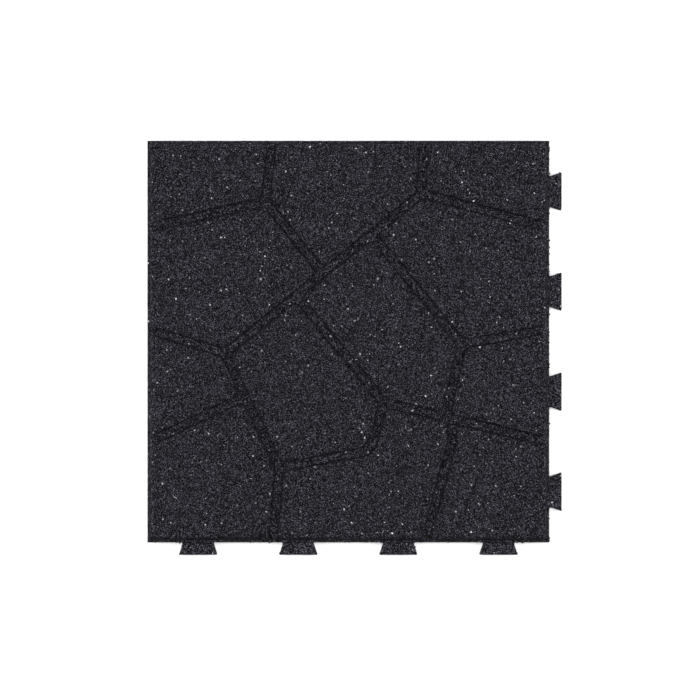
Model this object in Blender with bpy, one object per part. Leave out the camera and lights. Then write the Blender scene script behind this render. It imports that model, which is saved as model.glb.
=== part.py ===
"""Moulded rubber paver with a flagstone top and dovetail edges, in metres, +Z up.

The paver is one solid of bonded rubber crumb. It lies flat on its underside, with its origin at
the centre of the square body there. Dovetail tabs stand out along +X and -Y. Pockets of the same
shape, open at the edge and below, take the next pavers' tabs along -X and +Y. Grooves divide the
walking face into twelve stones and run out over all four edges, so the joints go on from one
paver to the next.
"""

import math

import bmesh
import bpy
from mathutils import Vector

# Body
SIDE = 0.4064
THICKNESS = 0.019
LEDGE_HEIGHT = 0.012
LEDGE_WIDTH = 0.0026
WALL_DRAFT = 0.0016
RIM_DROP = 0.0012
RIM_RUN = 0.0015
RIM_BEND = 0.35  # share of the rim's run and drop that lies on its flatter upper slope

# Dovetail tabs, and the pockets that take them
TABS_PER_EDGE = 4
TAB_PITCH = SIDE / TABS_PER_EDGE
TAB_REACH = 0.0129
TAB_ROOT_WIDTH = 0.0300
TAB_TIP_WIDTH = 0.0386
TAB_HEIGHT = 0.009
TAB_ROOT_FILLET = 0.0008
TAB_TIP_ROUND = 0.0005
TAB_ROUND_STEPS = 3
POCKET_CLEARANCE = 0.0005
POCKET_HEIGHT = TAB_HEIGHT + 0.0008

# Grooves between the stones
GROOVE_DEPTH = 0.004
GROOVE_FLOOR_WIDTH = 0.0075
GROOVE_WALL_RUN = 0.0015
STONE_EDGE_CHAMFER = 0.0007
STONE_CORNER = 0.0055
STONE_WIDE_CORNER = 0.0100
STONE_CORNER_STEPS = 4

# How far cutters reach past the faces that they cut, upwards or downwards and in plan
CUTTER_MARGIN = 0.002
SLAB_MARGIN = 0.005
STONE_MARGIN = 0.020

# Outward directions of the paver's edges
EDGES = {
    "north": Vector((0.0, 1.0)),
    "south": Vector((0.0, -1.0)),
    "east": Vector((1.0, 0.0)),
    "west": Vector((-1.0, 0.0)),
}
TAB_EDGES = ("east", "south")
POCKET_EDGES = ("west", "north")

# Where groove centrelines meet, in millimetres from the middle of the paver
JUNCTIONS_MM = {
    "upper_left": (-84.0, 141.2),
    "upper_right": (74.0, 149.5),
    "shoulder": (23.8, 108.3),
    "crossing": (-25.7, 69.1),
    "neck": (-52.4, 46.2),
    "left": (-124.1, -11.7),
    "lower_left": (-104.2, -55.5),
    "foot": (-69.4, -127.4),
    "keel": (22.6, -110.1),
    "middle": (36.0, -61.6),
    "right": (114.7, -2.9),
    "fork_from_north": (97.7, -76.4),
    "fork_to_south": (103.7, -77.9),
    "bend": (105.5, -98.4),
}

# Where grooves leave the paver: the edge, and the place along it in millimetres
EXITS_MM = {
    "north_1": ("north", -76.6),
    "north_2": ("north", 76.8),
    "west_1": ("west", 114.6),
    "west_2": ("west", 12.4),
    "west_3": ("west", -102.1),
    "east_1": ("east", 114.8),
    "east_2": ("east", 13.0),
    "east_3": ("east", -101.7),
    "south_1": ("south", -76.5),
    "south_2": ("south", 77.3),
}

# The paver's own corners, as signs of x and y
CORNERS = {
    "north_west": (-1, 1),
    "north_east": (1, 1),
    "south_west": (-1, -1),
    "south_east": (1, -1),
}

# Each stone's outline runs through these points, along its grooves' centrelines
STONES = (
    ("north_1", "upper_left", "west_1", "north_west"),
    ("north_1", "upper_left", "crossing", "shoulder", "upper_right", "north_2"),
    ("north_2", "upper_right", "east_1", "north_east"),
    ("west_1", "upper_left", "crossing", "neck", "left", "west_2"),
    ("upper_right", "east_1", "east_2", "right", "shoulder"),
    ("shoulder", "right", "fork_from_north", "middle", "neck", "crossing"),
    ("neck", "middle", "keel", "foot", "lower_left", "left"),
    ("west_2", "left", "lower_left", "west_3"),
    ("right", "east_2", "east_3", "fork_from_north"),
    ("west_3", "lower_left", "foot", "south_1", "south_west"),
    ("foot", "keel", "middle", "fork_to_south", "bend", "south_2", "south_1"),
    ("fork_to_south", "east_3", "south_east", "south_2", "bend"),
)
WIDE_CORNERS = ("keel",)

CRUMB_COLOUR = (0.026, 0.026, 0.033, 1.0)
CRUMB_ROUGHNESS = 0.9


def clear_scene():
    """Remove whatever the scene holds."""
    for item in list(bpy.data.objects):
        bpy.data.objects.remove(item, do_unlink=True)


def rubber_material():
    """Bonded rubber crumb, near black with a little blue."""
    material = bpy.data.materials.new("rubber_crumb")
    material.use_nodes = True
    shader = material.node_tree.nodes["Principled BSDF"]
    shader.inputs["Base Color"].default_value = CRUMB_COLOUR
    shader.inputs["Roughness"].default_value = CRUMB_ROUGHNESS
    shader.inputs["Metallic"].default_value = 0.0
    return material


def object_from(bm, name):
    """Link a mesh object made from a bmesh, with its faces pointing out."""
    bmesh.ops.recalc_face_normals(bm, faces=bm.faces)
    mesh = bpy.data.meshes.new(name)
    bm.to_mesh(mesh)
    bm.free()
    item = bpy.data.objects.new(name, mesh)
    bpy.context.scene.collection.objects.link(item)
    return item


def cutter_from(bm, name):
    """Link a cutter, which is kept out of renders and of the finished part."""
    cutter = object_from(bm, name)
    cutter.hide_render = True
    cutter.display_type = "WIRE"
    return cutter


def cut(target, cutter):
    """Subtract a cutter from an object."""
    boolean = target.modifiers.new(cutter.name, "BOOLEAN")
    boolean.operation = "DIFFERENCE"
    boolean.solver = "EXACT"
    boolean.object = cutter


def along_edge(outward):
    """Direction that runs along an edge, at a right angle to its outward direction."""
    return Vector((-outward.y, outward.x))


def tab_places():
    """Distances of the tab centres from the middle of an edge."""
    first = -TAB_PITCH * (TABS_PER_EDGE - 1) / 2
    return [first + index * TAB_PITCH for index in range(TABS_PER_EDGE)]


def flank_half_width(reach):
    """Half of a tab's width on its straight flanks, at a distance past the edge."""
    flare = (TAB_TIP_WIDTH - TAB_ROOT_WIDTH) / 2
    return TAB_ROOT_WIDTH / 2 + flare * reach / TAB_REACH


def dovetail_profile():
    """One side of a tab from root to tip, as (distance past the edge, half width)."""
    angles = [math.pi / 2 * step / TAB_ROUND_STEPS for step in range(TAB_ROUND_STEPS + 1)]
    points = []
    for angle in angles:
        reach = TAB_ROOT_FILLET * (1 - math.cos(angle))
        spread = TAB_ROOT_FILLET * (1 - math.sin(angle))
        points.append((reach, flank_half_width(reach) + spread))
    for angle in angles:
        reach = TAB_REACH - TAB_TIP_ROUND * (1 - math.sin(angle))
        trim = TAB_TIP_ROUND * (1 - math.cos(angle))
        points.append((reach, flank_half_width(reach) - trim))
    return points


def extrude_face(bm, face, keep=False):
    """Extrude a face where it is, and return the new face. A solid's first face is kept."""
    extruded = bmesh.ops.extrude_face_region(bm, geom=[face])
    if not keep:
        bmesh.ops.delete(bm, geom=[face], context="FACES_ONLY")
    return next(item for item in extruded["geom"] if isinstance(item, bmesh.types.BMFace))


def set_height(face, height):
    """Move a level face up or down to a height."""
    for vertex in face.verts:
        vertex.co.z = height


def inset_face(bm, face, distance):
    """Inset a level face evenly, and leave the strip round it in place."""
    face.normal_update()
    bmesh.ops.inset_region(
        bm, faces=[face], thickness=distance, use_even_offset=True, use_boundary=True
    )


def slope_face(bm, face, inset, height):
    """Inset a level face and lift it, so that a slope runs up to it from its old outline."""
    inset_face(bm, face, inset)
    set_height(face, height)


def body_outline():
    """The square body's corners, with a pair of points at each tab's root, anticlockwise."""
    half = SIDE / 2
    root = dovetail_profile()[0][1]
    ends = [place + side * root for place in tab_places() for side in (-1, 1)]
    south = [(along, -half) for along in ends]
    east = [(half, along) for along in ends]
    return [(-half, -half)] + south + [(half, -half)] + east + [(half, half), (-half, half)]


def tab_walls(bm, outward):
    """The pieces of an edge's wall that its tabs grow from, each with its place."""
    along = along_edge(outward)
    walls = []
    for face in bm.faces:
        centre = face.calc_center_median().xy
        on_edge = abs(centre.dot(outward) - SIDE / 2) < POCKET_CLEARANCE
        for place in tab_places():
            if on_edge and abs(centre.dot(along) - place) < TAB_ROOT_WIDTH / 2:
                walls.append((face, place))
    return walls


def extrude_tab(bm, wall, outward, place):
    """Grow a tab from a piece of wall, through each point of the dovetail's profile."""
    along = along_edge(outward)
    for reach, half_width in dovetail_profile()[1:]:
        wall = extrude_face(bm, wall)
        for vertex in wall.verts:
            across = math.copysign(half_width, vertex.co.xy.dot(along) - place)
            vertex.co.xy = outward * (SIDE / 2 + reach) + along * (place + across)


def make_body():
    """Square body with its tabs, ledge, drafted wall and softened rim."""
    bm = bmesh.new()
    bottom = bm.faces.new([bm.verts.new((x, y, 0.0)) for x, y in body_outline()])
    top = extrude_face(bm, bottom, keep=True)
    set_height(top, TAB_HEIGHT)
    for edge in TAB_EDGES:
        for wall, place in tab_walls(bm, EDGES[edge]):
            extrude_tab(bm, wall, EDGES[edge], place)
    top = extrude_face(bm, top)
    set_height(top, LEDGE_HEIGHT)
    slope_face(bm, top, LEDGE_WIDTH, LEDGE_HEIGHT)
    slope_face(bm, top, WALL_DRAFT, THICKNESS - RIM_DROP)
    slope_face(bm, top, RIM_RUN * RIM_BEND, THICKNESS - RIM_DROP * RIM_BEND)
    slope_face(bm, top, RIM_RUN * (1 - RIM_BEND), THICKNESS)
    return object_from(bm, "paver_tile")


def pocket_outline(outward, place):
    """Plan of a pocket: the outline of a tab that points inwards, with clearance round it."""
    along = along_edge(outward)
    profile = dovetail_profile()
    side = [(-CUTTER_MARGIN, profile[0][1])]
    side += [(depth, half_width) for depth, half_width in profile if depth < TAB_REACH / 2]
    side += [
        (depth + POCKET_CLEARANCE, half_width)
        for depth, half_width in profile
        if depth > TAB_REACH / 2
    ]
    right = [(depth, half_width + POCKET_CLEARANCE) for depth, half_width in side]
    left = [(depth, -half_width) for depth, half_width in reversed(right)]
    return [
        outward * (SIDE / 2 - depth) + along * (place + across) for depth, across in right + left
    ]


def add_prism(bm, outline, low, high):
    """Add a closed prism over a plan outline."""
    base = bm.faces.new([bm.verts.new((point.x, point.y, low)) for point in outline])
    set_height(extrude_face(bm, base, keep=True), high)


def make_pocket_cutter():
    """Dovetail prisms that cut the pockets from below the underside up to their roofs."""
    bm = bmesh.new()
    for edge in POCKET_EDGES:
        for place in tab_places():
            outline = pocket_outline(EDGES[edge], place)
            add_prism(bm, outline, -CUTTER_MARGIN, POCKET_HEIGHT)
    return cutter_from(bm, "pocket_cutter")


def exit_point(name, inner):
    """The end of a groove that runs on, straight from a junction, past the paver's edge."""
    edge, along_mm = EXITS_MM[name]
    outward = EDGES[edge]
    sideways = Vector((abs(outward.y), abs(outward.x)))
    crossing = outward * SIDE / 2 + sideways * along_mm / 1000
    run = crossing - Vector(JUNCTIONS_MM[inner]) / 1000
    return crossing + run * (STONE_MARGIN / run.dot(outward))


def stone_point(names, index):
    """Plan position of one of the points that a stone's outline runs through."""
    name = names[index]
    if name in JUNCTIONS_MM:
        return Vector(JUNCTIONS_MM[name]) / 1000
    if name in CORNERS:
        return Vector(CORNERS[name]) * (SIDE / 2 + STONE_MARGIN)
    neighbours = (names[index - 1], names[(index + 1) % len(names)])
    inner = next(other for other in neighbours if other in JUNCTIONS_MM)
    return exit_point(name, inner)


def round_corners(bm, vertices, reach):
    """Round corners of a flat face, from this distance along its edges."""
    bmesh.ops.bevel(
        bm,
        geom=vertices,
        offset=reach,
        offset_type="OFFSET",
        segments=STONE_CORNER_STEPS,
        profile=0.5,
        affect="VERTICES",
    )


def stone_plan(names):
    """A bmesh with one face, the stone's outline at the groove floor with rounded corners."""
    bm = bmesh.new()
    points = [stone_point(names, index) for index in range(len(names))]
    face = bm.faces.new([bm.verts.new((point.x, point.y, 0.0)) for point in points])
    inset_face(bm, face, GROOVE_FLOOR_WIDTH / 2)
    border = [other for other in bm.faces if other is not face]
    bmesh.ops.delete(bm, geom=border, context="FACES")
    corners = dict(zip(names, face.verts))
    wide = [vertex for name, vertex in corners.items() if name in WIDE_CORNERS]
    tight = [
        vertex
        for name, vertex in corners.items()
        if name in JUNCTIONS_MM and name not in WIDE_CORNERS
    ]
    for vertices, reach in ((tight, STONE_CORNER), (wide, STONE_WIDE_CORNER)):
        if vertices:
            round_corners(bm, vertices, reach)
    bm.faces.ensure_lookup_table()
    return bm


def stone_mesh(names):
    """A stone with sloping sides and a chamfered top edge, longer than the slab is thick."""
    floor = THICKNESS - GROOVE_DEPTH
    bm = stone_plan(names)
    bottom = bm.faces[0]
    set_height(bottom, floor - CUTTER_MARGIN)
    top = extrude_face(bm, bottom, keep=True)
    set_height(top, floor)
    overshoot = STONE_EDGE_CHAMFER / 2
    slope_face(bm, top, GROOVE_WALL_RUN, THICKNESS - STONE_EDGE_CHAMFER)
    slope_face(bm, top, STONE_EDGE_CHAMFER + overshoot, THICKNESS + overshoot)
    top = extrude_face(bm, top)
    set_height(top, THICKNESS + CUTTER_MARGIN)
    mesh = bpy.data.meshes.new("stone")
    bm.to_mesh(mesh)
    bm.free()
    return mesh


def make_groove_cutter():
    """A slab that lies on the groove floor, less the stones, so that the grooves are left."""
    stones = bmesh.new()
    for names in STONES:
        mesh = stone_mesh(names)
        stones.from_mesh(mesh)
        bpy.data.meshes.remove(mesh)
    reach = SIDE / 2 + SLAB_MARGIN
    outline = [Vector(signs) * reach for signs in ((-1, -1), (1, -1), (1, 1), (-1, 1))]
    slab = bmesh.new()
    add_prism(slab, outline, THICKNESS - GROOVE_DEPTH, THICKNESS + CUTTER_MARGIN / 2)
    cutter = cutter_from(slab, "groove_cutter")
    cut(cutter, cutter_from(stones, "stones"))
    return cutter


def main():
    clear_scene()
    body = make_body()
    body.data.materials.append(rubber_material())
    cut(body, make_pocket_cutter())
    cut(body, make_groove_cutter())


main()
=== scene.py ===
import math

import bpy
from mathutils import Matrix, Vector


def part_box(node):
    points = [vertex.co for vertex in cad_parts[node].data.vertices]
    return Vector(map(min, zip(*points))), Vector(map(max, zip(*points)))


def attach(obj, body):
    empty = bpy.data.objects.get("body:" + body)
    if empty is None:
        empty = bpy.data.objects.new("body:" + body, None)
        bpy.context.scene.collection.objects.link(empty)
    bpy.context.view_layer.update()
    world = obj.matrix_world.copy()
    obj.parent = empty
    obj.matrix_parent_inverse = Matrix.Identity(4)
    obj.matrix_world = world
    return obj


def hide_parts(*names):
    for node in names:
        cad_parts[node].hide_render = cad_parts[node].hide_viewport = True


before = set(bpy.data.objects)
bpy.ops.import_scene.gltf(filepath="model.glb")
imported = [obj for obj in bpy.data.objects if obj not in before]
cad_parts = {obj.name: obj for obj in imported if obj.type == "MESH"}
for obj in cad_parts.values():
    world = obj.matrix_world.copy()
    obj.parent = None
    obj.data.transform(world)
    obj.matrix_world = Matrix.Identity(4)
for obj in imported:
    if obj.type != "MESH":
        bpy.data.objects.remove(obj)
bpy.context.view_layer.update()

NODE = "paver_tile"
MOULD_LOW, MOULD_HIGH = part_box(NODE)
BODY = "root"

bl_info = {
    "name": "Crumb rubber paver",
    "version": (1, 0, 0),
    "blender": (4, 5, 0),
    "location": "View3D > Sidebar > Paver",
    "description": "Builds the crumb finish of a moulded rubber paver, and its studio",
    "category": "Object",
}

# Where the paver's body stands in the picture, in pixels of a 700 by 700 frame
PICTURE_SIDE_PX = 700
BODY_CENTRE_PX = (348.35, 341.6)
BODY_SIDE_PX = 401.9
BODY_SIDE = 0.4064
LEDGE_HEIGHT = 0.012

# The height of the grooves' floors, the heights above it between which their walls get painted
# shade, and how far below the ledge a place still counts as on it
GROOVE_FLOOR = 0.015
WALL_FOOT = 0.0001
WALL_HEAD = 0.0022
LEDGE_MARGIN = 0.0001
# The strip along each side in which grooves get no painted shade
OPEN_STRIP = 0.0085
# The paver's edge, inwards from its side: a flat ledge, then the wall and the rim above it
LEDGE_WIDTH = 0.0026
EDGE_WIDTH = 0.0058
# How far out from the side the tabs' paler colour starts
TAB_START = 0.0008

# How level a face is, as its normal's z: a top, any but an underside, and the flat underside
TOP = 0.9
ALL_BUT_UNDER = -0.5
UNDERSIDE = -0.9
# Where a slope's skin starts to go over from a side's to a top's
SIDE_ENDS = 0.3

# Grades of crumb: piece name, size setting, shape, how level a face must be to hold it,
# spacing, densest scatter and seed
GRADES = (
    ("coarse_crumbs", "coarse_size", "ICOSPHERE", TOP, 0.0048, 40000, 11),
    ("medium_crumbs", "medium_size", "CUBE", TOP, 0.0023, 140000, 23),
    ("fine_crumbs_1", "fine_size", "OCTAHEDRON", ALL_BUT_UNDER, 0.0018, 230000, 37),
    ("fine_crumbs_2", "fine_size", "OCTAHEDRON", ALL_BUT_UNDER, 0.0018, 230000, 53),
    ("fine_crumbs_3", "fine_size", "OCTAHEDRON", ALL_BUT_UNDER, 0.0018, 230000, 67),
)
# Radii of the two round grain shapes, in grain widths. A ball of four segments and two rings
# is an octahedron
BALL_RADIUS = 0.62
OCTAHEDRON_RADIUS = 0.68
OCTAHEDRON_SEGMENTS = 4
OCTAHEDRON_RINGS = 2

FLECK_SPACING = 0.003
FLECK_SEED = 71

# Fibres: how they are spread, their arc and its facets, and how they are bent
FIBRE_SEED = 91
FIBRE_SPACING = 0.03
FIBRES_PER_AREA = 110.0
FIBRE_SWEEP = math.radians(150)
FIBRE_POINTS = 9
FIBRE_SIDES = 5
SHORTEST_FIBRE = 0.35
BENDS_PER_METRE = 300.0
BEND = 0.003

MERGE_DISTANCE = 0.00001
SMOOTH_ANGLE = math.radians(40)
NOISE_MEAN = 0.5
LUMP_DETAIL = 2.0

# Soft boxes: one overhead, a little to the north, and a weaker one low down on two sides
SOFT_BOX_SIDE = 1.0
SOFT_BOXES = (
    ("soft_box_above", (0.0, 0.12, 2.6), "top_power"),
    ("soft_box_left", (-1.4, 0.0, 0.95), "side_power"),
    ("soft_box_right", (1.4, 0.0, 0.95), "side_power"),
)
FLOOR_SIDE = 1.7
FLOOR_DROP = 0.0003
FLOOR_ROUGHNESS = 0.9
HAZE_SCALE = 3.0
HAZE_SHADE = 0.98
BACKDROP = 1.2
MOST_TRIANGLES = 200000

# Kinds of crumb: width of its small cells, how light plain ones are, how rare bright ones are
# (painted glints on black crumb and binder), height of the bumps, and how much of its tone a cell
# has from its whole grain
CRUMB_LOOKS = {
    "binder_and_crumb": (0.0006, 1.0, 12.0, 0.0003, 0.0),
    "black_crumb": (0.0006, 1.1, 12.0, 0.0002, 0.15),
    "pale_fleck": (0.0009, 0.9, 3.0, 0.0001, 0.8),
    "pale_fibre": (0.0006, 1.2, 3.0, 0.0001, 0.7),
}
SPECULAR_LEVEL = 0.02
CELL_RANDOMNESS = 0.85
# Where a small cell of crumb turns dark and light, from its middle, in cell widths
EDGE_OF_CELL = 0.42
HEART_OF_CELL = 0.15
# How rare light cells are: the power that turns an even spread into mostly dark ones
TONE_RARITY = 3.0
# How much of its lightness crumb keeps where the painted shading mask is one, which is low on the
# walls
# of the grooves: painted shade in the grooves. The mask's values elsewhere: on their floors (a
# lighter painted shade), on the edge (painted light on the rims) and what the tabs (paler) and
# the south wall (painted shade) add to that. Below nought the crumb is paler
WALL_SHADE = 0.32
FLOOR_PAINTED_SHADE = 0.14
EDGE_PAINTED_LIGHT = -0.45
TAB_PALENESS = -0.70
SOUTH_PAINTED_SHADE = 1.05
# Fine noise over the cells: how many times finer than they are, its detail and roughness, and
# how much it adds to the height of the bumps
DUST_FINENESS = 2.5
DUST_DETAIL = 3.0
DUST_ROUGHNESS = 0.7
DUST_HEIGHT = 0.6
SMOOTHEST_CELL = 0.45
ROUGHEST_CELL = 0.85


class PaverSurfaceSettings(bpy.types.PropertyGroup):
    """Sizes of the moulded surface and of the crumbs in it."""

    cell: bpy.props.FloatProperty(
        name="Cell",
        description="Width of the quads that the moulded surface is made of",
        default=0.0016,
        unit="LENGTH",
    )
    skin: bpy.props.FloatProperty(
        name="Skin",
        description="How far the binder between the crumbs lies below the moulded top",
        default=0.0007,
        unit="LENGTH",
    )
    side_skin: bpy.props.FloatProperty(
        name="Side skin",
        description="How far the binder between the crumbs lies behind the moulded sides",
        default=0.0,
        unit="LENGTH",
    )
    lump_height: bpy.props.FloatProperty(
        name="Lump height",
        description="Height of the lumps in the binder",
        default=0.0004,
        unit="LENGTH",
    )
    side_lump_height: bpy.props.FloatProperty(
        name="Side lump height",
        description="Height of the lumps on the moulded sides",
        default=0.00012,
        unit="LENGTH",
    )
    lump_width: bpy.props.FloatProperty(
        name="Lump width",
        description="Width of the lumps in the binder",
        default=0.0030,
        unit="LENGTH",
    )
    coarse_size: bpy.props.FloatProperty(
        name="Coarse crumb",
        description="Mean width of the coarse crumbs",
        default=0.0020,
        unit="LENGTH",
    )
    medium_size: bpy.props.FloatProperty(
        name="Medium crumb",
        description="Mean width of the medium crumbs",
        default=0.0013,
        unit="LENGTH",
    )
    fine_size: bpy.props.FloatProperty(
        name="Fine crumb",
        description="Mean width of the fine crumbs",
        default=0.0010,
        unit="LENGTH",
    )
    size_spread: bpy.props.FloatProperty(
        name="Size spread",
        description="How much crumbs of one grade differ in size, as a share of their width",
        default=0.28,
        subtype="FACTOR",
    )
    shallow: bpy.props.FloatProperty(
        name="Shallow",
        description="Depth of a crumb's middle where it stands out most, in crumb widths",
        default=0.50,
    )
    deep: bpy.props.FloatProperty(
        name="Deep",
        description="Depth of a crumb's middle where it is sunk most, in crumb widths",
        default=0.95,
    )
    roughness_of_cut: bpy.props.FloatProperty(
        name="Ragged cut",
        description="How far a crumb's corners are moved at random, in crumb widths",
        default=0.24,
    )


class PaverFleckSettings(bpy.types.PropertyGroup):
    """Sizes and numbers of the pale flecks and fibres."""

    fleck_size: bpy.props.FloatProperty(
        name="Fleck",
        description="Mean width of a pale fleck",
        default=0.0011,
        unit="LENGTH",
    )
    fleck_spread: bpy.props.FloatProperty(
        name="Fleck spread",
        description="How much the flecks differ in size, as a share of their width",
        default=0.45,
        subtype="FACTOR",
    )
    flecks_per_area: bpy.props.FloatProperty(
        name="Flecks",
        description="Pale flecks on each square metre",
        default=4300.0,
    )
    fibre_curl: bpy.props.FloatProperty(
        name="Fibre curl",
        description="Radius of the arc that the longest cord fibres follow",
        default=0.004,
        unit="LENGTH",
    )
    fibre_width: bpy.props.FloatProperty(
        name="Fibre width",
        description="Thickness of a cord fibre",
        default=0.00045,
        unit="LENGTH",
    )


class PaverColourSettings(bpy.types.PropertyGroup):
    """Colours of the rubber, the flecks and the floor."""

    dark: bpy.props.FloatVectorProperty(
        name="Dark rubber",
        description="Colour of the darkest crumbs",
        default=(0.0020, 0.0019, 0.0025),
        size=3,
        subtype="COLOR",
    )
    binder: bpy.props.FloatVectorProperty(
        name="Binder",
        description="Colour of the lightest binder between the crumbs",
        default=(0.170, 0.164, 0.203),
        size=3,
        subtype="COLOR",
    )
    light: bpy.props.FloatVectorProperty(
        name="Light rubber",
        description="Colour of the lightest crumbs",
        default=(0.231, 0.222, 0.276),
        size=3,
        subtype="COLOR",
    )
    fleck_dull: bpy.props.FloatVectorProperty(
        name="Dull fleck",
        description="Colour of the dullest flecks",
        default=(0.03, 0.03, 0.034),
        size=3,
        subtype="COLOR",
    )
    fleck_pale: bpy.props.FloatVectorProperty(
        name="Pale fleck",
        description="Colour of the palest flecks",
        default=(0.82, 0.82, 0.85),
        size=3,
        subtype="COLOR",
    )
    floor: bpy.props.FloatVectorProperty(
        name="Floor",
        description="Colour of the studio floor",
        default=(0.86, 0.86, 0.86),
        size=3,
        subtype="COLOR",
    )


class PaverStudioSettings(bpy.types.PropertyGroup):
    """Camera and lights."""

    lens: bpy.props.FloatProperty(
        name="Lens",
        description="Focal length of the camera",
        default=100.0,
        subtype="DISTANCE_CAMERA",
    )
    side_power: bpy.props.FloatProperty(
        name="Side lights",
        description="Power of the soft boxes left and right of the paver",
        default=17.0,
        unit="POWER",
    )
    top_power: bpy.props.FloatProperty(
        name="Top light",
        description="Power of the soft box above the paver",
        default=66.0,
        unit="POWER",
    )
    ambient: bpy.props.FloatProperty(
        name="Ambient",
        description="Strength of the even light from all round",
        default=0.15,
    )


def group_of(setting):
    """One of the scene's setting groups."""
    return getattr(bpy.context.scene, setting)


def new_tree(name, kind, inputs, outputs):
    """A node group with named sockets, and its two end nodes."""
    tree = bpy.data.node_groups.new(name, kind)
    for label, socket_type in inputs:
        tree.interface.new_socket(label, in_out="INPUT", socket_type=socket_type)
    for label, socket_type in outputs:
        tree.interface.new_socket(label, in_out="OUTPUT", socket_type=socket_type)
    return tree, tree.nodes.new("NodeGroupInput"), tree.nodes.new("NodeGroupOutput")


def add_node(tree, kind, **settings):
    """Add a node and set its properties."""
    node = tree.nodes.new(kind)
    for key, value in settings.items():
        setattr(node, key, value)
    return node


def feed(tree, socket, value):
    """Link a socket to another one, or set its own value."""
    if isinstance(value, bpy.types.NodeSocket):
        tree.links.new(value, socket)
    else:
        socket.default_value = value


def maths(tree, operation, *values):
    """Result of a Math node."""
    node = add_node(tree, "ShaderNodeMath", operation=operation)
    for socket, value in zip(node.inputs, values):
        feed(tree, socket, value)
    return node.outputs[0]


def vector_maths(tree, operation, *values):
    """Result of a Vector Math node."""
    node = add_node(tree, "ShaderNodeVectorMath", operation=operation)
    for socket, value in zip(node.inputs, values):
        feed(tree, socket, value)
    return node.outputs["Vector"]


def scaled_vector(tree, vector, factor):
    """A vector times a number."""
    node = add_node(tree, "ShaderNodeVectorMath", operation="SCALE")
    feed(tree, node.inputs[0], vector)
    feed(tree, node.inputs["Scale"], factor)
    return node.outputs["Vector"]


def random_number(tree, low, high, seed):
    """A random number for each element."""
    node = add_node(tree, "FunctionNodeRandomValue", data_type="FLOAT")
    feed(tree, node.inputs[2], low)
    feed(tree, node.inputs[3], high)
    node.inputs["Seed"].default_value = seed
    return node.outputs[1]


def random_vector(tree, low, high, seed):
    """A random vector for each element."""
    node = add_node(tree, "FunctionNodeRandomValue", data_type="FLOAT_VECTOR")
    feed(tree, node.inputs[0], (low, low, low))
    feed(tree, node.inputs[1], (high, high, high))
    node.inputs["Seed"].default_value = seed
    return node.outputs[0]


def kept_in_mould(tree, position):
    """A position held inside the paver's box, as the mould's walls would hold it."""
    lowered = vector_maths(tree, "MINIMUM", position, tuple(MOULD_HIGH))
    return vector_maths(tree, "MAXIMUM", lowered, tuple(MOULD_LOW))


def store(tree, geometry, name, value, domain="INSTANCE"):
    """Keep a number on each element under a name."""
    node = add_node(
        tree, "GeometryNodeStoreNamedAttribute", data_type="FLOAT", domain=domain
    )
    feed(tree, node.inputs["Geometry"], geometry)
    node.inputs["Name"].default_value = name
    feed(tree, node.inputs["Value"], value)
    return node.outputs["Geometry"]


def stored(tree, name):
    """Read a number that was kept under a name."""
    node = add_node(tree, "GeometryNodeInputNamedAttribute", data_type="FLOAT")
    node.inputs["Name"].default_value = name
    return node.outputs["Attribute"]


def product(tree, *values):
    """Several values multiplied."""
    result = values[0]
    for value in values[1:]:
        result = maths(tree, "MULTIPLY", result, value)
    return result


def groove_painted_shade(tree, height, from_middle):
    """Part of the painted shading mask: painted shade, one low on the grooves' walls, and less on
    their floors.
    """
    is_low = maths(tree, "LESS_THAN", height, GROOVE_FLOOR + WALL_HEAD)
    is_wall = maths(tree, "GREATER_THAN", height, GROOVE_FLOOR + WALL_FOOT)
    is_inside = maths(tree, "LESS_THAN", from_middle, BODY_SIDE / 2 - OPEN_STRIP)
    return product(tree, is_low, maths(tree, "MAXIMUM", is_wall, FLOOR_PAINTED_SHADE), is_inside)


def edge_painted_shading(tree, height, northing, from_middle):
    """Part of the painted shading mask: below nought on the edge, painted light, and on the tabs,
    paler; above it on the south wall, painted shade.
    """
    side = BODY_SIDE / 2
    is_above = maths(tree, "GREATER_THAN", height, LEDGE_HEIGHT - LEDGE_MARGIN)
    is_edge = maths(tree, "GREATER_THAN", from_middle, side - EDGE_WIDTH)
    is_tab = maths(tree, "GREATER_THAN", from_middle, side + TAB_START)
    is_south = maths(tree, "LESS_THAN", northing, EDGE_WIDTH - side)
    is_wall = maths(tree, "LESS_THAN", from_middle, side - LEDGE_WIDTH)
    # Painted light on the rims and painted shade on the south rim's wall; the tabs are made paler
    on_edge = product(tree, is_edge, is_above, EDGE_PAINTED_LIGHT)
    on_tab = product(tree, is_tab, TAB_PALENESS)
    on_south_wall = product(tree, is_south, is_wall, is_above, SOUTH_PAINTED_SHADE)
    return maths(tree, "ADD", maths(tree, "ADD", on_edge, on_tab), on_south_wall)


def painted_shading_mask(tree, position):
    """The painted shading mask: above nought, painted shade, in grooves, and mostly below it,
    painted light, at the edge.
    """
    place = add_node(tree, "ShaderNodeSeparateXYZ")
    feed(tree, place.inputs[0], position)
    east_west = maths(tree, "ABSOLUTE", place.outputs["X"])
    north_south = maths(tree, "ABSOLUTE", place.outputs["Y"])
    from_middle = maths(tree, "MAXIMUM", east_west, north_south)
    height = place.outputs["Z"]
    in_groove = groove_painted_shade(tree, height, from_middle)
    at_edge = edge_painted_shading(tree, height, place.outputs["Y"], from_middle)
    return maths(tree, "ADD", in_groove, at_edge)


def by_level(tree, level, steep_value, level_value):
    """A value that goes from one number on steep faces to another on level ones."""
    node = add_node(tree, "ShaderNodeMapRange")
    feed(tree, node.inputs["Value"], level)
    node.inputs["From Min"].default_value = SIDE_ENDS
    node.inputs["To Min"].default_value = steep_value
    node.inputs["To Max"].default_value = level_value
    return node.outputs[0]


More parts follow.
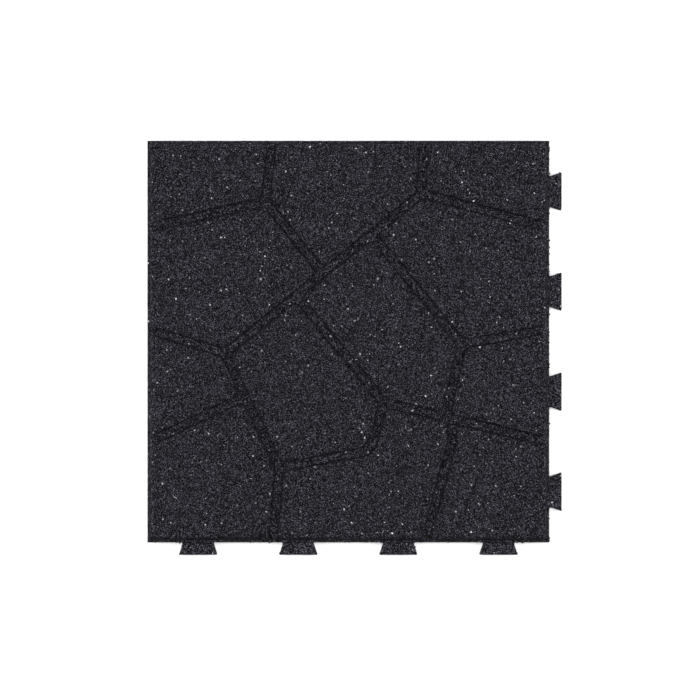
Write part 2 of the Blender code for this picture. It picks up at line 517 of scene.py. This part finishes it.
def relief_height(tree, position, normal, settings):
    """How far the skin moves along its normal: sunk, lumpy, and left alone underneath."""
    lumps = add_node(tree, "ShaderNodeTexNoise", noise_dimensions="3D")
    feed(tree, lumps.inputs["Vector"], position)
    lumps.inputs["Scale"].default_value = 1 / settings.lump_width
    lumps.inputs["Detail"].default_value = LUMP_DETAIL
    height = maths(tree, "SUBTRACT", lumps.outputs[0], NOISE_MEAN)
    level = add_node(tree, "ShaderNodeSeparateXYZ")
    feed(tree, level.inputs[0], normal)
    swell = by_level(tree, level.outputs["Z"], settings.side_lump_height, settings.lump_height)
    skin = by_level(tree, level.outputs["Z"], settings.side_skin, settings.skin)
    height = product(tree, height, swell, 1 / NOISE_MEAN)
    height = maths(tree, "SUBTRACT", height, skin)
    above = add_node(tree, "ShaderNodeSeparateXYZ")
    feed(tree, above.inputs[0], position)
    off_ground = maths(tree, "GREATER_THAN", above.outputs["Z"], settings.cell / 2)
    return maths(tree, "MULTIPLY", height, off_ground)


def relief_tree(settings):
    """Geometry nodes that sink the moulded skin and raise lumps in it, but not underneath."""
    geometry = (("Geometry", "NodeSocketGeometry"),)
    tree, start, end = new_tree("Binder relief", "GeometryNodeTree", geometry, geometry)
    position = add_node(tree, "GeometryNodeInputPosition").outputs[0]
    normal = add_node(tree, "GeometryNodeInputNormal").outputs[0]
    height = relief_height(tree, position, normal, settings)
    moved = vector_maths(tree, "ADD", position, scaled_vector(tree, normal, height))
    # Mask of painted light and shade, kept on the binder's points
    painted_shading = painted_shading_mask(tree, position)
    marked = store(tree, start.outputs[0], "painted_shading", painted_shading, domain="POINT")
    shape = add_node(tree, "GeometryNodeSetPosition")
    feed(tree, shape.inputs["Geometry"], marked)
    feed(tree, shape.inputs["Position"], kept_in_mould(tree, moved))
    tree.links.new(shape.outputs[0], end.inputs[0])
    return tree


def grain_shape(tree, shape):
    """One grain of unit width, before its corners are moved."""
    if shape == "CUBE":
        return add_node(tree, "GeometryNodeMeshCube").outputs["Mesh"]
    if shape == "OCTAHEDRON":
        ball = add_node(tree, "GeometryNodeMeshUVSphere")
        ball.inputs["Segments"].default_value = OCTAHEDRON_SEGMENTS
        ball.inputs["Rings"].default_value = OCTAHEDRON_RINGS
        ball.inputs["Radius"].default_value = OCTAHEDRON_RADIUS
        return ball.outputs["Mesh"]
    ball = add_node(tree, "GeometryNodeMeshIcoSphere")
    ball.inputs["Radius"].default_value = BALL_RADIUS
    ball.inputs["Subdivisions"].default_value = 1
    return ball.outputs["Mesh"]


def scattered(tree, surface, spacing, density, seed):
    """Points spread over a surface, no closer than the spacing, with the surface's normal."""
    spread = add_node(
        tree, "GeometryNodeDistributePointsOnFaces", distribute_method="POISSON"
    )
    feed(tree, spread.inputs["Mesh"], surface)
    spread.inputs["Distance Min"].default_value = spacing
    spread.inputs["Density Max"].default_value = density
    spread.inputs["Seed"].default_value = seed
    return spread


def bedded(tree, spread, width, settings, seed):
    """Spread points sunk into the surface, each by a share of its grain's width."""
    depth = random_number(tree, settings.shallow, settings.deep, seed + 2)
    sink = product(tree, width, depth, -1.0)
    # Mask of painted light and shade, kept on each grain's bed point
    painted_shading = painted_shading_mask(tree, add_node(tree, "GeometryNodeInputPosition").outputs[0])
    marked = store(tree, spread.outputs["Points"], "painted_shading", painted_shading, domain="POINT")
    bed = add_node(tree, "GeometryNodeSetPosition")
    feed(tree, bed.inputs["Geometry"], marked)
    feed(tree, bed.inputs["Offset"], scaled_vector(tree, spread.outputs["Normal"], sink))
    return bed.outputs[0]


def ragged(tree, grains, settings, seed):
    """Grains whose corners are moved at random, inside the mould."""
    push = random_vector(tree, -1.0, 1.0, seed + 5)
    width = stored(tree, "grain_width")
    reach = maths(tree, "MULTIPLY", width, settings.roughness_of_cut)
    position = add_node(tree, "GeometryNodeInputPosition").outputs[0]
    moved = vector_maths(tree, "ADD", position, scaled_vector(tree, push, reach))
    cut = add_node(tree, "GeometryNodeSetPosition")
    feed(tree, cut.inputs["Geometry"], grains)
    feed(tree, cut.inputs["Position"], kept_in_mould(tree, moved))
    return cut.outputs[0]


def grains_tree(name, shape, size, size_spread, spacing, density, seed, settings):
    """Geometry nodes that bed ragged grains in a surface, as one mesh."""
    geometry = (("Geometry", "NodeSocketGeometry"),)
    tree, start, end = new_tree(name, "GeometryNodeTree", geometry, geometry)
    spread = scattered(tree, start.outputs[0], spacing, density, seed)
    widths = (size * (1 - size_spread), size * (1 + size_spread))
    width = random_number(tree, *widths, seed + 1)
    place = add_node(tree, "GeometryNodeInstanceOnPoints")
    feed(tree, place.inputs["Points"], bedded(tree, spread, width, settings, seed))
    feed(tree, place.inputs["Instance"], grain_shape(tree, shape))
    feed(tree, place.inputs["Rotation"], random_vector(tree, 0.0, 2 * math.pi, seed + 3))
    drawn_out = random_vector(tree, 1 - size_spread, 1 + size_spread, seed + 6)
    feed(tree, place.inputs["Scale"], scaled_vector(tree, drawn_out, width))
    toned = store(tree, place.outputs[0], "tone", random_number(tree, 0.0, 1.0, seed + 4))
    # Each grain takes the painted light and shade mask of its bed point
    placed = store(tree, toned, "painted_shading", stored(tree, "painted_shading"))
    sized = store(tree, placed, "grain_width", width)
    joined = add_node(tree, "GeometryNodeRealizeInstances")
    feed(tree, joined.inputs[0], sized)
    tree.links.new(ragged(tree, joined.outputs[0], settings, seed), end.inputs[0])
    return tree


def fibre_shape(tree, settings):
    """One fibre: a thin capped tube along an arc."""
    arc = add_node(tree, "GeometryNodeCurveArc")
    arc.inputs["Resolution"].default_value = FIBRE_POINTS
    arc.inputs["Radius"].default_value = settings.fibre_curl
    arc.inputs["Sweep Angle"].default_value = FIBRE_SWEEP
    section = add_node(tree, "GeometryNodeCurvePrimitiveCircle")
    section.inputs["Resolution"].default_value = FIBRE_SIDES
    section.inputs["Radius"].default_value = settings.fibre_width / 2
    tube = add_node(tree, "GeometryNodeCurveToMesh")
    feed(tree, tube.inputs["Curve"], arc.outputs[0])
    feed(tree, tube.inputs["Profile Curve"], section.outputs[0])
    tube.inputs["Fill Caps"].default_value = True
    return tube.outputs[0]


def bent(tree, fibres):
    """Fibres bent by noise, inside the mould."""
    position = add_node(tree, "GeometryNodeInputPosition").outputs[0]
    wave = add_node(tree, "ShaderNodeTexNoise", noise_dimensions="3D")
    feed(tree, wave.inputs["Vector"], position)
    wave.inputs["Scale"].default_value = BENDS_PER_METRE
    middle = (NOISE_MEAN, NOISE_MEAN, NOISE_MEAN)
    bend = vector_maths(tree, "SUBTRACT", wave.outputs["Color"], middle)
    moved = vector_maths(tree, "ADD", position, scaled_vector(tree, bend, BEND))
    shape = add_node(tree, "GeometryNodeSetPosition")
    feed(tree, shape.inputs["Geometry"], fibres)
    feed(tree, shape.inputs["Position"], kept_in_mould(tree, moved))
    return shape.outputs[0]


def fibres_tree(settings, seed):
    """Geometry nodes that lay short bent fibres on a surface, as one mesh."""
    geometry = (("Geometry", "NodeSocketGeometry"),)
    tree, start, end = new_tree("Cord fibres", "GeometryNodeTree", geometry, geometry)
    spread = scattered(tree, start.outputs[0], FIBRE_SPACING, FIBRES_PER_AREA, seed)
    turn = add_node(tree, "ShaderNodeCombineXYZ")
    feed(tree, turn.inputs["Z"], random_number(tree, 0.0, 2 * math.pi, seed + 1))
    place = add_node(tree, "GeometryNodeInstanceOnPoints")
    feed(tree, place.inputs["Points"], spread.outputs["Points"])
    feed(tree, place.inputs["Instance"], fibre_shape(tree, settings))
    feed(tree, place.inputs["Rotation"], turn.outputs[0])
    feed(tree, place.inputs["Scale"], random_number(tree, SHORTEST_FIBRE, 1.0, seed + 2))
    toned = store(tree, place.outputs[0], "tone", random_number(tree, 0.0, 1.0, seed + 3))
    joined = add_node(tree, "GeometryNodeRealizeInstances")
    feed(tree, joined.inputs[0], toned)
    tree.links.new(bent(tree, joined.outputs[0]), end.inputs[0])
    return tree


def mixed(tree, factor, first, second):
    """One colour turned into another by a factor."""
    node = add_node(tree, "ShaderNodeMix", data_type="RGBA")
    feed(tree, node.inputs["Factor"], factor)
    feed(tree, node.inputs[6], first)
    feed(tree, node.inputs[7], second)
    return node.outputs[2]


def dust_noise(tree, place, scale):
    """Fine noise over the cells of crumb."""
    dust = add_node(tree, "ShaderNodeTexNoise", noise_dimensions="3D")
    feed(tree, dust.inputs["Vector"], place)
    feed(tree, dust.inputs["Scale"], maths(tree, "MULTIPLY", scale, DUST_FINENESS))
    dust.inputs["Detail"].default_value = DUST_DETAIL
    dust.inputs["Roughness"].default_value = DUST_ROUGHNESS
    return dust.outputs[0]


def cell_light(tree, start, distance, shade, dust):
    """How light a cell is: most in its heart, rarely much, darker where the mask paints shade and
    paler where it paints light.
    """
    tone = add_node(tree, "ShaderNodeMix", data_type="FLOAT")
    feed(tree, tone.inputs["Factor"], start.outputs["Own Share"])
    feed(tree, tone.inputs[2], shade.outputs["Red"])
    feed(tree, tone.inputs[3], start.outputs["Own Tone"])
    core = add_node(tree, "ShaderNodeMapRange", interpolation_type="SMOOTHSTEP")
    feed(tree, core.inputs["Value"], distance)
    core.inputs["From Min"].default_value = EDGE_OF_CELL
    core.inputs["From Max"].default_value = HEART_OF_CELL
    rare = maths(tree, "POWER", tone.outputs[0], TONE_RARITY)
    plain = maths(tree, "MULTIPLY", rare, core.outputs[0])
    # Rare bright cells: painted glints on the black crumb and binder; on the flecks and fibres,
    # less rare, part of their pale colour
    glint = maths(tree, "POWER", shade.outputs["Blue"], start.outputs["Glint Rarity"])
    shaded = maths(tree, "MULTIPLY_ADD", plain, start.outputs["Plain Shade"], glint)
    # Painted shading: darker where the mask is above nought, paler where it is below
    painted_shading_factor = maths(tree, "MULTIPLY_ADD", start.outputs["Shelter"], WALL_SHADE - 1, 1.0)
    return product(tree, shaded, maths(tree, "ADD", dust, NOISE_MEAN), painted_shading_factor)


def crumb_group():
    """Shader node group for bonded crumb: each small cell has its own shade and height."""
    inputs = (
        ("Grain Width", "NodeSocketFloat"),
        ("Own Tone", "NodeSocketFloat"),
        ("Own Share", "NodeSocketFloat"),
        ("Glint Rarity", "NodeSocketFloat"),
        ("Shelter", "NodeSocketFloat"),
        ("Plain Shade", "NodeSocketFloat"),
        ("Dark", "NodeSocketColor"),
        ("Light", "NodeSocketColor"),
    )
    outputs = (
        ("Colour", "NodeSocketColor"),
        ("Roughness", "NodeSocketFloat"),
        ("Height", "NodeSocketFloat"),
    )
    tree, start, end = new_tree("Bonded crumb", "ShaderNodeTree", inputs, outputs)
    place = add_node(tree, "ShaderNodeTexCoord").outputs["Object"]
    scale = maths(tree, "DIVIDE", 1.0, start.outputs["Grain Width"])
    cells = add_node(tree, "ShaderNodeTexVoronoi", feature="F1", voronoi_dimensions="3D")
    feed(tree, cells.inputs["Vector"], place)
    feed(tree, cells.inputs["Scale"], scale)
    cells.inputs["Randomness"].default_value = CELL_RANDOMNESS
    shade = add_node(tree, "ShaderNodeSeparateColor")
    feed(tree, shade.inputs[0], cells.outputs["Color"])
    dust = dust_noise(tree, place, scale)
    light = cell_light(tree, start, cells.outputs["Distance"], shade, dust)
    colour = mixed(tree, light, start.outputs["Dark"], start.outputs["Light"])
    tree.links.new(colour, end.inputs["Colour"])
    rough = add_node(tree, "ShaderNodeMapRange")
    feed(tree, rough.inputs["Value"], shade.outputs["Green"])
    rough.inputs["To Min"].default_value = SMOOTHEST_CELL
    rough.inputs["To Max"].default_value = ROUGHEST_CELL
    tree.links.new(rough.outputs[0], end.inputs["Roughness"])
    bump = maths(tree, "SUBTRACT", shade.outputs["Green"], cells.outputs["Distance"])
    bump = maths(tree, "ADD", bump, maths(tree, "MULTIPLY", dust, DUST_HEIGHT))
    tree.links.new(bump, end.inputs["Height"])
    return tree


def new_material(name):
    """A material with its Principled shader, and its tree."""
    material = bpy.data.materials.new(name)
    material.use_nodes = True
    tree = material.node_tree
    return material, tree, tree.nodes["Principled BSDF"]


def crumb_material(name, shades):
    """Crumb of one kind: its two shades, and its own values for cells and grains."""
    grain_width, plain_shade, glint_rarity, bump, own_share = CRUMB_LOOKS[name]
    group = bpy.data.node_groups.get("Bonded crumb") or crumb_group()
    material, tree, shader = new_material(name)
    pattern = add_node(tree, "ShaderNodeGroup", node_tree=group)
    pattern.inputs["Grain Width"].default_value = grain_width
    pattern.inputs["Own Share"].default_value = own_share
    pattern.inputs["Plain Shade"].default_value = plain_shade
    pattern.inputs["Glint Rarity"].default_value = glint_rarity
    if own_share:
        tone = add_node(tree, "ShaderNodeAttribute", attribute_name="tone")
        feed(tree, pattern.inputs["Own Tone"], tone.outputs["Fac"])
    # Painted light and shade from the mask kept on the mesh
    painted_shading = add_node(tree, "ShaderNodeAttribute", attribute_name="painted_shading")
    feed(tree, pattern.inputs["Shelter"], painted_shading.outputs["Fac"])
    pattern.inputs["Dark"].default_value = (*shades[0], 1.0)
    pattern.inputs["Light"].default_value = (*shades[1], 1.0)
    relief = add_node(tree, "ShaderNodeBump")
    relief.inputs["Distance"].default_value = bump
    feed(tree, relief.inputs["Height"], pattern.outputs["Height"])
    feed(tree, shader.inputs["Base Color"], pattern.outputs["Colour"])
    feed(tree, shader.inputs["Roughness"], pattern.outputs["Roughness"])
    feed(tree, shader.inputs["Normal"], relief.outputs[0])
    shader.inputs["Specular IOR Level"].default_value = SPECULAR_LEVEL
    return material


def floor_material(colour):
    """Matt pale studio floor with the faintest unevenness."""
    material, tree, shader = new_material("studio_floor")
    place = add_node(tree, "ShaderNodeTexCoord").outputs["Object"]
    haze = add_node(tree, "ShaderNodeTexNoise", noise_dimensions="3D")
    feed(tree, haze.inputs["Vector"], place)
    haze.inputs["Scale"].default_value = HAZE_SCALE
    hazy = (*(HAZE_SHADE * channel for channel in colour), 1.0)
    tint = mixed(tree, haze.outputs[0], (*colour, 1.0), hazy)
    feed(tree, shader.inputs["Base Color"], tint)
    shader.inputs["Roughness"].default_value = FLOOR_ROUGHNESS
    return material


def only_select(item):
    """Select one object and make it active."""
    bpy.ops.object.select_all(action="DESELECT")
    item.select_set(True)
    bpy.context.view_layer.objects.active = item


def copy_of_node(name):
    """A closed, free copy of the moulded solid, with a mesh of its own."""
    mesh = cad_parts[NODE].data.copy()
    mesh.materials.clear()
    mesh.name = name
    copy = bpy.data.objects.new(name, mesh)
    bpy.context.scene.collection.objects.link(copy)
    only_select(copy)
    bpy.ops.object.mode_set(mode="EDIT")
    bpy.ops.mesh.select_all(action="SELECT")
    bpy.ops.mesh.remove_doubles(threshold=MERGE_DISTANCE)
    bpy.ops.object.mode_set(mode="OBJECT")
    return copy


def select_faces(item, wanted):
    """Select the faces that a test of centre and normal picks, and go into edit mode."""
    only_select(item)
    bpy.ops.object.mode_set(mode="EDIT")
    bpy.ops.mesh.select_mode(type="FACE")
    bpy.ops.mesh.select_all(action="DESELECT")
    bpy.ops.object.mode_set(mode="OBJECT")
    for face in item.data.polygons:
        face.select = wanted(face.center, face.normal)
    bpy.ops.object.mode_set(mode="EDIT")


def apply_nodes(item, tree):
    """Run geometry nodes on an object and keep the result as its mesh."""
    only_select(item)
    bpy.ops.object.modifier_add(type="NODES")
    modifier = item.modifiers[-1]
    modifier.node_group = tree
    bpy.ops.object.modifier_apply(modifier=modifier.name)


def bring_to_solid(item):
    """Bring a remeshed surface back to the faces and edges of the moulded solid."""
    guide = copy_of_node("guide")
    only_select(item)
    bpy.ops.object.modifier_add(type="SHRINKWRAP")
    wrap = item.modifiers[-1]
    wrap.wrap_method = "NEAREST_SURFACEPOINT"
    wrap.target = guide
    bpy.ops.object.modifier_apply(modifier=wrap.name)
    only_select(guide)
    bpy.ops.object.delete()


def triangles_of(item):
    """How many triangles an object's mesh makes."""
    item.data.calc_loop_triangles()
    return len(item.data.loop_triangles)


def finish_piece(item, material):
    """Give a piece its material and say what it rides on."""
    count = triangles_of(item)
    if not 0 < count < MOST_TRIANGLES:
        raise RuntimeError(f"{item.name} has {count} triangles")
    print(item.name, "triangles", count)
    item.data.materials.clear()
    item.data.materials.append(material)
    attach(item, BODY)


class PAVER_OT_moulded_body(bpy.types.Operator):
    """Make the moulded body: the solid's own shape, with the uneven binder between crumbs"""

    bl_idname = "paver.moulded_body"
    bl_label = "Moulded body"

    def execute(self, context):
        settings = group_of("paver_surface")
        colours = group_of("paver_colours")
        body = copy_of_node("moulded_body")
        bpy.ops.object.modifier_add(type="REMESH")
        remesh = body.modifiers[-1]
        remesh.mode = "VOXEL"
        remesh.voxel_size = settings.cell
        bpy.ops.object.modifier_apply(modifier=remesh.name)
        bring_to_solid(body)
        apply_nodes(body, relief_tree(settings))
        ground = settings.cell / 2
        select_faces(body, lambda centre, normal: centre.z < ground and normal.z < UNDERSIDE)
        bpy.ops.mesh.delete(type="FACE")
        bpy.ops.mesh.select_mode(type="EDGE")
        bpy.ops.mesh.select_non_manifold()
        bpy.ops.mesh.edge_face_add()
        bpy.ops.mesh.quads_convert_to_tris(ngon_method="CLIP")
        bpy.ops.object.mode_set(mode="OBJECT")
        bpy.ops.object.shade_smooth_by_angle(angle=SMOOTH_ANGLE)
        finish_piece(body, crumb_material("binder_and_crumb", (colours.dark, colours.binder)))
        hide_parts(NODE)
        return {"FINISHED"}


def crumb_bed(name, wanted):
    """The solid's surface without the faces that carry no crumbs."""
    bed = copy_of_node(name)
    select_faces(bed, lambda centre, normal: not wanted(centre, normal))
    bpy.ops.mesh.delete(type="FACE")
    bpy.ops.object.mode_set(mode="OBJECT")
    return bed


class PAVER_OT_rubber_crumbs(bpy.types.Operator):
    """Bed the black crumbs, grade by grade, in the walking face and the edges"""

    bl_idname = "paver.rubber_crumbs"
    bl_label = "Rubber crumbs"

    def execute(self, context):
        settings = group_of("paver_surface")
        colours = group_of("paver_colours")
        material = crumb_material("black_crumb", (colours.dark, colours.light))
        for name, size_name, shape, level, spacing, density, seed in GRADES:
            crumbs = crumb_bed(name, lambda centre, normal: normal.z > level)
            size = getattr(settings, size_name)
            spread = settings.size_spread
            tree = grains_tree(name, shape, size, spread, spacing, density, seed, settings)
            apply_nodes(crumbs, tree)
            finish_piece(crumbs, material)
        return {"FINISHED"}


class PAVER_OT_pale_flecks(bpy.types.Operator):
    """Bed the scattered pale flecks in the surface"""

    bl_idname = "paver.pale_flecks"
    bl_label = "Pale flecks"

    def execute(self, context):
        surface = group_of("paver_surface")
        settings = group_of("paver_flecks")
        colours = group_of("paver_colours")
        flecks = crumb_bed("pale_flecks", lambda centre, normal: normal.z > ALL_BUT_UNDER)
        tree = grains_tree(
            "pale_flecks",
            "CUBE",
            settings.fleck_size,
            settings.fleck_spread,
            FLECK_SPACING,
            settings.flecks_per_area,
            FLECK_SEED,
            surface,
        )
        apply_nodes(flecks, tree)
        shades = (colours.fleck_dull, colours.fleck_pale)
        finish_piece(flecks, crumb_material("pale_fleck", shades))
        return {"FINISHED"}


class PAVER_OT_cord_fibres(bpy.types.Operator):
    """Lay a few short cord fibres on the stones"""

    bl_idname = "paver.cord_fibres"
    bl_label = "Cord fibres"

    def execute(self, context):
        settings = group_of("paver_flecks")
        colours = group_of("paver_colours")
        top = MOULD_HIGH[2] - MERGE_DISTANCE
        fibres = crumb_bed("cord_fibres", lambda centre, normal: centre.z > top)
        apply_nodes(fibres, fibres_tree(settings, FIBRE_SEED))
        shades = (colours.fleck_dull, colours.fleck_pale)
        finish_piece(fibres, crumb_material("pale_fibre", shades))
        return {"FINISHED"}


def soft_box(name, place, size, power):
    """A square soft box that faces the paver."""
    turned = (-Vector(place)).to_track_quat("-Z", "Y").to_euler()
    bpy.ops.object.light_add(type="AREA", location=place, rotation=turned)
    light = bpy.context.active_object
    light.name = name
    light.data.name = name
    light.data.shape = "SQUARE"
    light.data.size = size
    light.data.energy = power


def studio_air(ambient):
    """Even light from all round, in front of a white backdrop."""
    world = bpy.data.worlds.new("studio_air")
    world.use_nodes = True
    tree = world.node_tree
    air = tree.nodes["Background"]
    air.inputs["Color"].default_value = (1.0, 1.0, 1.0, 1.0)
    is_seen = add_node(tree, "ShaderNodeLightPath").outputs["Is Camera Ray"]
    strength = maths(tree, "MULTIPLY_ADD", is_seen, BACKDROP - ambient, ambient)
    feed(tree, air.inputs["Strength"], strength)
    return world


class PAVER_OT_studio(bpy.types.Operator):
    """Set up the pale floor, the soft lights and the camera straight above"""

    bl_idname = "paver.studio"
    bl_label = "Studio"

    def execute(self, context):
        settings = group_of("paver_studio")
        colours = group_of("paver_colours")
        bpy.ops.object.select_all(action="DESELECT")
        bpy.ops.mesh.primitive_plane_add(size=FLOOR_SIDE, location=(0.0, 0.0, -FLOOR_DROP))
        floor = context.active_object
        floor.name = floor.data.name = "studio_floor"
        bpy.ops.object.transform_apply(location=True, rotation=True, scale=True)
        floor.data.materials.append(floor_material(colours.floor))
        for name, place, power_name in SOFT_BOXES:
            soft_box(name, place, SOFT_BOX_SIDE, getattr(settings, power_name))
        context.scene.world = studio_air(settings.ambient)
        context.scene.view_settings.view_transform = "Standard"
        add_camera(context, settings.lens)
        return {"FINISHED"}


def add_camera(context, lens):
    """A camera straight above, framed as the picture is."""
    metres_per_pixel = BODY_SIDE / BODY_SIDE_PX
    middle = PICTURE_SIDE_PX / 2
    x = (middle - BODY_CENTRE_PX[0]) * metres_per_pixel
    y = (BODY_CENTRE_PX[1] - middle) * metres_per_pixel
    bpy.ops.object.camera_add(rotation=(0.0, 0.0, 0.0))
    camera = context.active_object
    camera.name = camera.data.name = "camera"
    camera.data.lens = lens
    seen_width = PICTURE_SIDE_PX * metres_per_pixel
    distance = seen_width * lens / camera.data.sensor_width
    camera.location = (x, y, LEDGE_HEIGHT + distance)
    context.scene.camera = camera


class PAVER_PT_panel(bpy.types.Panel):
    """Lists the paver's pieces in the order in which they are made"""

    bl_idname = "PAVER_PT_panel"
    bl_label = "Crumb rubber paver"
    bl_space_type = "VIEW_3D"
    bl_region_type = "UI"
    bl_category = "Paver"

    def draw(self, context):
        for operator in OPERATORS:
            self.layout.operator(operator.bl_idname)


SETTINGS = {
    "paver_surface": PaverSurfaceSettings,
    "paver_flecks": PaverFleckSettings,
    "paver_colours": PaverColourSettings,
    "paver_studio": PaverStudioSettings,
}
OPERATORS = (
    PAVER_OT_moulded_body,
    PAVER_OT_rubber_crumbs,
    PAVER_OT_pale_flecks,
    PAVER_OT_cord_fibres,
    PAVER_OT_studio,
)
CLASSES = (*SETTINGS.values(), *OPERATORS, PAVER_PT_panel)


def register():
    """Register the classes and put the settings on the scene."""
    for each in CLASSES:
        bpy.utils.register_class(each)
    for name, group in SETTINGS.items():
        setattr(bpy.types.Scene, name, bpy.props.PointerProperty(type=group))


def unregister():
    """Take the settings and the classes away again."""
    for name in SETTINGS:
        delattr(bpy.types.Scene, name)
    for each in reversed(CLASSES):
        bpy.utils.unregister_class(each)


def main():
    """Build the paver and its studio."""
    register()
    bpy.ops.paver.moulded_body()
    bpy.ops.paver.rubber_crumbs()
    bpy.ops.paver.pale_flecks()
    bpy.ops.paver.cord_fibres()
    bpy.ops.paver.studio()


if __name__ == "__main__":
    main()
